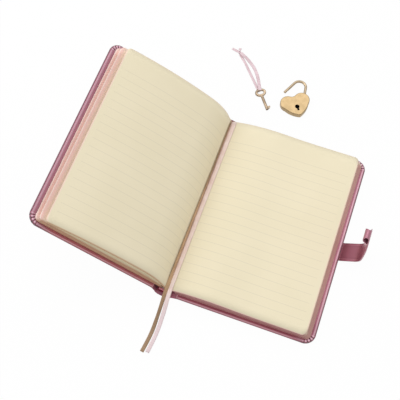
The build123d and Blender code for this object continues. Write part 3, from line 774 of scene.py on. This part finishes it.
# Painted light on the left-hand leaves: their cut edges are tan, not the rose of the other sheets,
# as shade among the fanned leaves; the tail colours paint the shaded gaps between the bundles at
# the tail, and the pale rims paint a highlight along each leaf's edge.
shaded_tan_edges = ((160, 114, 82), (216, 168, 132))
left_paper = page_paper("left_ruled_paper", (250, 222, 205), 1.2, shaded_tan_edges,
                        tail=(206, 170, 126), tail_reach=1.6)
under_paper = page_paper("left_under_paper", (255, 230, 221), 1.0, shaded_tan_edges,
                         (252, 204, 197), 9.0, (196, 146, 110), 2.4)


def left_bundle(node, paper, along, heading, bends, thick, count,
                rise=0.0, pull=0.0):
    """A bundle of leaves from its root, along the spine and risen off the lining.

    Pull draws the leaves in over the fold. They bend as they turn, from the spine to the
    bundle's own body, along the given arcs of set radius and turn.
    """
    root = BACK_AXIS + SPINE_DIR * along + SPINE_UP * (LINING_TOP + rise + ROOT_LIFT)
    leaves = []
    for leaf in range(count):
        length = PAGE_W + (chance.uniform(TRIM_SHORT, TRIM_LONG) if leaf else 0.0)
        line = []
        for x, z, walked in bent_line(xz(root), heading, bends, length):
            near_fold = pull * max(1 - walked / PULL_LONG, 0.0) ** 2
            line.append((x + near_fold, z - PULL_DROP * near_fold, walked))
        near = thick * leaf / count
        far = near + thick * LEFT_SHARE / count
        leaves.append((offset_stations(line, near), offset_stations(line, far), length))
    bundle = leaves_mesh(node + "_sheets", leaves, paper, 24)
    end = bent_line(xz(root), heading, bends, PAGE_W)[-1]
    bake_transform(bundle)
    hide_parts(node)


left_bundle("left_leaves_top", left_paper, along=10.0, heading=101.7,
            bends=[(46.2, 43.1), (356.0, 12.4)], thick=0.7, count=5,
            rise=3.0, pull=1.4)
left_bundle("left_leaves_middle", under_paper, along=11.8, heading=128.0,
            bends=[(100.0, 21.7), (320.0, -2.8)], thick=0.7, count=5)
left_bundle("front_flyleaf", under_paper, along=13.3, heading=138.9,
            bends=[(40.0, 8.9), (156.0, -0.84)], thick=0.4, count=2)


# Strap. A tab of the coated cloth is sewn in under the back cover's fore edge, wraps the edge,
# and ends in a flap whose end is rolled into a loop for the padlock.
STRAP_Y = -1.5
STRAP_ROOT = Vector((62.9, STRAP_Y, 1.5))
WRAP_LEAN, WRAP_LONG = radians(36.6), 17.6
WRAP_DIR = Vector((cos(WRAP_LEAN), 0.0, sin(WRAP_LEAN)))
FLAP_LEAN, FLAP_LONG = radians(4.9), 42.5
FLAP_DIR = Vector((-sin(FLAP_LEAN), 0.0, cos(FLAP_LEAN)))
STRAP_BEND = STRAP_ROOT + WRAP_DIR * WRAP_LONG
STRAP_HALF, LOOP_HALF = 8.8, 6.4
STRAP_T, LOOP_T = 1.2, 0.7
LOOP_R, LOOP_CUT, LOOP_OUT = 2.3, 2.4, 1.3
LOOP_AT = (STRAP_BEND + FLAP_DIR * FLAP_LONG
           + Vector((cos(FLAP_LEAN), 0.0, sin(FLAP_LEAN))) * LOOP_OUT)
TUCK_IN, TUCK_DOWN, TUCK_CUT = 1.1, 6.0, 0.6
# Lengths walked from the strap's sewn end; all of the loop counts as one place.
SPLIT, RISE_FROM, RISE_LONG, TAPER_FROM, TAPER_LONG = 6.0, 24.0, 5.0, 46.0, 13.0
THIN_FROM, LOOP_HIGHLIGHT_FROM, LOOP_WALK = 60.0, 62.0, 63.5
HEM, SEAM = (1.5, 2.4), (1.8, 2.1)
# Tints of the strap's skin by inset from its sides, and a painted highlight where it stands
# upright.
HEM_TINT, SEAM_TINT, EDGE_TINT, FACE_TINT, RISE_HIGHLIGHT = -0.38, 0.3, -0.24, -0.26, 0.4


def turned_path(start, heading, turns, pace=1.0):
    """Points, headings and walked lengths of a strap whose heading turns evenly along each run."""
    path, spot, angle, walked = [], Vector(start), radians(heading), 0.0
    path.append((spot.copy(), angle, walked))
    for length, turn in turns:
        steps = max(int(length / pace), 2)
        for step in range(steps):
            angle += radians(turn) / steps
            mid = angle - radians(turn) / steps / 2
            spot = spot + Vector((cos(mid), sin(mid))) * (length / steps)
            walked += length / steps
            path.append((spot.copy(), angle, walked))
    return path


def ramp(value, start, span):
    """How far a value has come through a span, from 0 to 1."""
    return min(max((value - start) / span, 0.0), 1.0)


def hem_tint(inset):
    """How light the strap's skin is at this inset: its edge, pressed hem, seam and face."""
    if SEAM[0] < inset < SEAM[1]:
        return SEAM_TINT
    if HEM[0] < inset < HEM[1]:
        return HEM_TINT
    return EDGE_TINT if inset < HEM[1] else FACE_TINT


def strap_piece(name, path, walks, cuts, loop_highlight):
    """Part of the strap, drawn in towards its loop, with a pressed hem along its two sides."""
    halves, thick = [], []
    for walked, cut in zip(walks, cuts):
        share = ramp(walked, TAPER_FROM, TAPER_LONG)
        taper = (LOOP_HALF - STRAP_HALF) * share * share * (3 - 2 * share)
        halves.append(STRAP_HALF + taper - cut)
        thick.append(STRAP_T if walked < THIN_FROM else LOOP_T)
    made = skin_strip(name, path, halves, thick, STRAP_Y)
    rim_count = len(made.data.vertices) // len(path)
    marks = []
    for half, walked in zip(halves, walks):
        # Painted highlight: the skin is lighter where the flap stands upright, and its loop keeps
        # that light.
        upright = RISE_HIGHLIGHT * ramp(walked, RISE_FROM, RISE_LONG)
        for _ in range(rim_count):
            inset = half - abs(made.data.vertices[len(marks)].co.y / MM - STRAP_Y)
            marks.append(loop_highlight if walked > LOOP_HIGHLIGHT_FROM else upright + hem_tint(inset))
    mark_mesh(made, "painted_light_and_tone", marks)
    return made


strap_line = turned_path((60.2, 1.1), 0.0, [(3.5, 37.0), (14.0, 2.0), (10.0, 50.0), (10.0, 3.0),
                                            (25.5, 6.0)])
loop_centre = Vector(xz(LOOP_AT))
last_spot, arrive, strap_long = strap_line[-1]
outward = Vector((sin(arrive), -cos(arrive)))
wish = loop_centre + outward * LOOP_R
miss = wish - last_spot
strap_line = [(spot + miss * (walked / strap_long) ** 2, angle, walked)
              for spot, angle, walked in strap_line]
loop_turns = [arrive - pi / 2 + radians(15 * s) for s in range(1, 18)]
loop_arc = [loop_centre + Vector((cos(turn), sin(turn))) * LOOP_R for turn in loop_turns]
tuck = wish - outward * TUCK_IN - Vector((cos(arrive), sin(arrive))) * TUCK_DOWN

near_line = [item for item in strap_line if item[2] <= SPLIT]
near_path, _, near_walks = zip(*near_line)
strap_root = strap_piece("strap_root", near_path, near_walks, [0.0] * len(near_path), 0.0)
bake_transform(strap_root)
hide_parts("strap_wrap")

far_line = [near_line[-1]] + [item for item in strap_line if item[2] > SPLIT]
far_path, _, far_walks = zip(*far_line)
flap_walks = [*far_walks] + [LOOP_WALK] * (len(loop_arc) + 1)
loop_cuts = [LOOP_CUT * (1 + sin(turn)) / 2 for turn in loop_turns]
flap_cuts = [0.0] * len(far_path) + loop_cuts + [TUCK_CUT]
strap_flap = strap_piece("strap_flap_loop", [*far_path, *loop_arc, tuck], flap_walks, flap_cuts,
                         0.15)
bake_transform(strap_flap)
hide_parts("strap_flap")


# Padlock, staple and key. Die-cast parts plated in polished pale gold; the shackle swings on a
# pin in the case, and the key's bit throws a small bolt.
KEYHOLE_X, KEYHOLE_Y = -17.34 * MM, 126.57 * MM


def plated(name, dark, light, rough):
    """Polished plating with faint scuffs; the space behind the keyhole is painted dark as shade."""
    made, shade = new_material(name)
    place = shade.place()
    cloud = shade.noise(place, 160.0)
    scuff = shade.noise(shade.stretched(place, (0.0004, 0.004, 0.002)), 1.0, 3.0)
    x, y, height = shade.parts(place)
    aside, ahead = x - KEYHOLE_X, y - KEYHOLE_Y
    away = shade.sum("SQRT", aside * aside + ahead * ahead)
    # Painted shade: a dark, dull patch in the hollow behind the keyhole.
    keyhole_shade = away.step(0.0046, 0.0050, 1.0, 0.0) * height.step(0.00055, 0.00065)
    keyhole_shade = keyhole_shade * height.step(0.0048, 0.0051, 1.0, 0.0)
    tone = cloud.step(0.3, 0.7).mix(dark, light)
    finish_material(shade, {
        "Base Color": keyhole_shade.mix(tone, (14, 10, 8)), "Metallic": 1.0 - keyhole_shade,
        "Roughness": rough + 0.12 * scuff + 0.05 * cloud + 0.5 * keyhole_shade,
        "Normal": shade.bump(scuff, 0.00002, 0.2)})
    return made


paint_nodes(plated("lock_gold", (160, 138, 103), (176, 152, 115), 0.24),
            "lock_case", "lock_face", "lock_staple", "staple_rivets")
paint_nodes(plated("shackle_gold", (160, 142, 118), (186, 166, 138), 0.2),
            "shackle", "shackle_pivot")
paint_nodes(plated("key_gold", (142, 124, 104), (176, 156, 132), 0.22),
            "key_post", "lock_bolt", "key")


# Ribbons. Narrow woven satin: a gold and a blush page marker lie down the gutter and out over
# the tail, and a loop of lilac ribbon carries the key, tied in a knot.
BOOKMARK_W, KEY_RIBBON_W = 4.0, 2.6
RIBS_PER_MM = 2.6
FREE_END_FROM, FREE_END_TO = 160.0, 200.0


def satin(name, dark, light, painted_light=None):
    """Satin with fine cross ribs and closer woven edges, and painted light towards a free end."""
    made, shade = new_material(name)
    run, across, _ = shade.parts(shade.map("ribbon"))
    rib = shade.sum("SINE", run * (2 * pi * RIBS_PER_MM)) * 0.5 + 0.5
    edge = shade.sum("ABSOLUTE", across - 0.5).step(0.40, 0.46)
    cloud = shade.noise(shade.place(), 120.0)
    tone = (rib * 0.35 + cloud * 0.65).step(0.25, 0.75).mix(dark, light)
    tone = (edge * 0.35).mix(tone, dark)
    if painted_light:
        # Painted light along the run towards the free end, where a colour for it is given.
        tone = run.step(FREE_END_FROM, FREE_END_TO, 0.0, 0.75).mix(tone, painted_light)
    finish_material(shade, {
        "Base Color": tone, "Roughness": 0.38 + 0.2 * rib, "Sheen Weight": 0.3,
        "Normal": shade.bump(rib * 0.6 + edge, 0.00006, 0.5)})
    return made


# The gold marker is painted darker towards its free end, as shade where it turns over the tail; the
# blush marker's salmon tint is a painted reflection, and it turns a cooler pink towards its free
# end.
gold_satin = satin("gold_satin", (172, 134, 94), (214, 176, 132), (150, 122, 96))
blush_satin = satin("blush_satin", (238, 206, 194), (255, 238, 231), (230, 210, 216))
lilac_satin = satin("lilac_satin", (212, 184, 190), (240, 216, 221))


def route_points(name, route):
    """Points read from a smooth spline that has the route's points as its control points."""
    curve = bpy.data.curves.new(name + "_line", "CURVE")
    curve.dimensions = "3D"
    spline = curve.splines.new("NURBS")
    spline.points.add(len(route) - 1)
    for point, place in zip(spline.points, route):
        point.co = (*(Vector(place) * MM), 1.0)
    spline.order_u = 3
    spline.use_endpoint_u = True
    curve.resolution_u = 10
    holder = bpy.data.objects.new(name + "_line", curve)
    bpy.context.collection.objects.link(holder)
    graph = bpy.context.evaluated_depsgraph_get()
    graph.update()
    line = bpy.data.meshes.new_from_object(holder.evaluated_get(graph))
    points = [v.co.copy() / MM for v in line.vertices]
    bpy.data.objects.remove(holder)
    bpy.data.meshes.remove(line)
    return points


def eased(stops, share):
    """The value at this share of a route, eased between (share, value) stops."""
    for (from_share, low), (to_share, high) in zip(stops, stops[1:]):
        if from_share <= share <= to_share:
            t = (share - from_share) / (to_share - from_share)
            return low + (high - low) * t * t * (3 - 2 * t)
    return stops[-1][1]


def ribbon_mesh(name, route, widths, rolls, material, thick=0.3):
    """A flat ribbon along a route; widths and the degrees turned from flat are eased stops."""
    line = route_points(name, route)
    runs = [0.0]
    for a, b in zip(line, line[1:]):
        runs.append(runs[-1] + (b - a).length)
    points, marks = [], []
    rim = [(-1, -0.5), (-1, 0.5), (-0.5, 0.62), (0, 0.66), (0.5, 0.62), (1, 0.5),
           (1, -0.5), (0.5, -0.62), (0, -0.66), (-0.5, -0.62)]
    for step, spot in enumerate(line):
        run = (line[min(step + 1, len(line) - 1)] - line[max(step - 1, 0)]).normalized()
        flat = run.cross(Vector((0, 0, 1))).normalized()
        lift = flat.cross(run).normalized()
        share = runs[step] / runs[-1]
        roll, width = radians(eased(rolls, share)), eased(widths, share)
        side = flat * cos(roll) + lift * sin(roll)
        up = lift * cos(roll) - flat * sin(roll)
        for across, height in rim:
            points.append(spot + side * (across * width / 2) + up * (height * thick))
            marks.append((runs[step], across / 2 + 0.5))
    made = new_object(name, points, tube_faces(len(line), len(rim)), material)
    mark_map(made, "ribbon", marks)
    return made, [tuple(p * MM) for p in line], runs[-1] * MM


bookmarks = (
    ("gold", gold_satin, [(0, BOOKMARK_W), (0.7, BOOKMARK_W), (0.82, 3.5), (1, 3.4)],
     [(0, 86), (0.2, 84), (0.45, 64), (0.66, 60), (0.76, 30), (0.85, 40), (0.93, 10), (1, 4)],
     [(-70.95, 87.0, 9.1), (-70.95, 45.0, 9.2), (-70.95, 2.0, 9.9), (-71.0, -36.0, 10.5),
      (-70.8, -66.0, 10.6), (-70.6, -91.0, 10.4), (-70.5, -102.5, 5.2), (-70.4, -113.5, 1.5),
      (-70.2, -124.5, 0.45), (-71.0, -134.5, 0.4), (-72.3, -144.0, 0.35)]),
    ("pink", blush_satin, [(0, 4.9), (0.35, 4.4), (0.7, BOOKMARK_W), (0.85, 3.5), (1, 3.4)],
     [(0, 162), (0.7, 162), (0.86, 180), (1, 180)],
     [(-68.3, 87.0, 9.45), (-68.2, 45.0, 9.45), (-68.1, 2.0, 9.5), (-67.9, -36.0, 9.55),
      (-67.8, -66.0, 9.65), (-67.5, -91.0, 10.0), (-66.5, -102.5, 5.8), (-66.2, -113.5, 1.9),
      (-66.1, -124.5, 0.5), (-66.8, -134.5, 0.4), (-67.8, -143.0, 0.35)]),
)
for colour, cloth, widths, rolls, route in bookmarks:
    marker, line, length = ribbon_mesh(f"bookmark_{colour}_ribbon", route, widths, rolls, cloth)
    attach(marker, "open_section")
    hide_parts(f"bookmark_{colour}")

key_over_route = [
    (-57.1, 133.3, 3.1), (-58.9, 136.9, 3.05), (-61.0, 142.0, 1.4), (-64.2, 148.7, 0.5),
    (-68.3, 154.9, 0.35), (-73.6, 160.4, 0.4), (-80.4, 165.2, 1.0), (-84.9, 167.3, 2.0),
    (-88.9, 168.9, 2.9),
]
key_under_route = [
    (-57.6, 132.8, 0.22), (-61.8, 137.6, 0.2), (-66.2, 142.9, 0.22), (-70.9, 148.4, 0.2),
    (-75.6, 153.9, 0.22), (-80.3, 159.6, 0.2), (-84.8, 164.1, 0.25), (-89.4, 168.6, 0.55),
]
tail_routes = (
    ("key_ribbon_tail_a", [(-92.0, 170.4, 1.2), (-95.5, 171.5, 0.8), (-98.9, 172.6, 0.4)]),
    ("key_ribbon_tail_b", [(-90.9, 171.55, 2.55), (-90.8, 173.3, 1.8), (-91.4, 175.2, 0.9)]),
)

even, level = [(0, KEY_RIBBON_W), (1, KEY_RIBBON_W)], [(0, 0), (1, 0)]
key_over, over_line, over_length = ribbon_mesh(
    "key_ribbon_over_strand", key_over_route, [(0, 3.2), (1, 3.0)],
    [(0, 0), (0.5, 20), (1, 0)], lilac_satin, 0.2)
key_under, under_line, under_length = ribbon_mesh(
    "key_ribbon_under_strand", key_under_route, even, level, lilac_satin, 0.15)
tail_long, tail_short = (ribbon_mesh(name, route, even, level, lilac_satin, 0.2)[0]
                         for name, route in tail_routes)

KNOT, KNOT_R, KNOT_TURNS = Vector((-90.4, 169.6, 1.9)), 0.75, 2.25
WRAP_THICK, WRAP_TALL, WRAP_STEP = 0.62, 1.15, 0.12
points, marks = [], []
rows, around = 90, 12
for row in range(rows):
    turn = row / (rows - 1) * 2 * pi * KNOT_TURNS
    lean = 0.5 * sin(turn * 0.5)
    spot = KNOT + Vector((cos(turn) * KNOT_R + lean * 0.3, sin(turn) * KNOT_R,
                          0.55 * sin(turn * 1.5)))
    out = Vector((cos(turn), sin(turn), 0.0))
    for step in range(around):
        angle = 2 * pi * step / around
        points.append(spot + out * (WRAP_THICK * cos(angle))
                      + Vector((0, 0, WRAP_TALL * sin(angle))))
        marks.append((row * WRAP_STEP, step / around))
knot = new_object("key_ribbon_knot_wraps", points, tube_faces(rows, around), lilac_satin)
mark_map(knot, "ribbon", marks)

for piece, node in ((key_over, "key_ribbon_over"), (key_under, "key_ribbon_under"),
                    (tail_long, "key_ribbon_tail_long"), (tail_short, "key_ribbon_tail_short"),
                    (knot, "key_ribbon_knot")):
    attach(piece, "key")
    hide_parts(node)
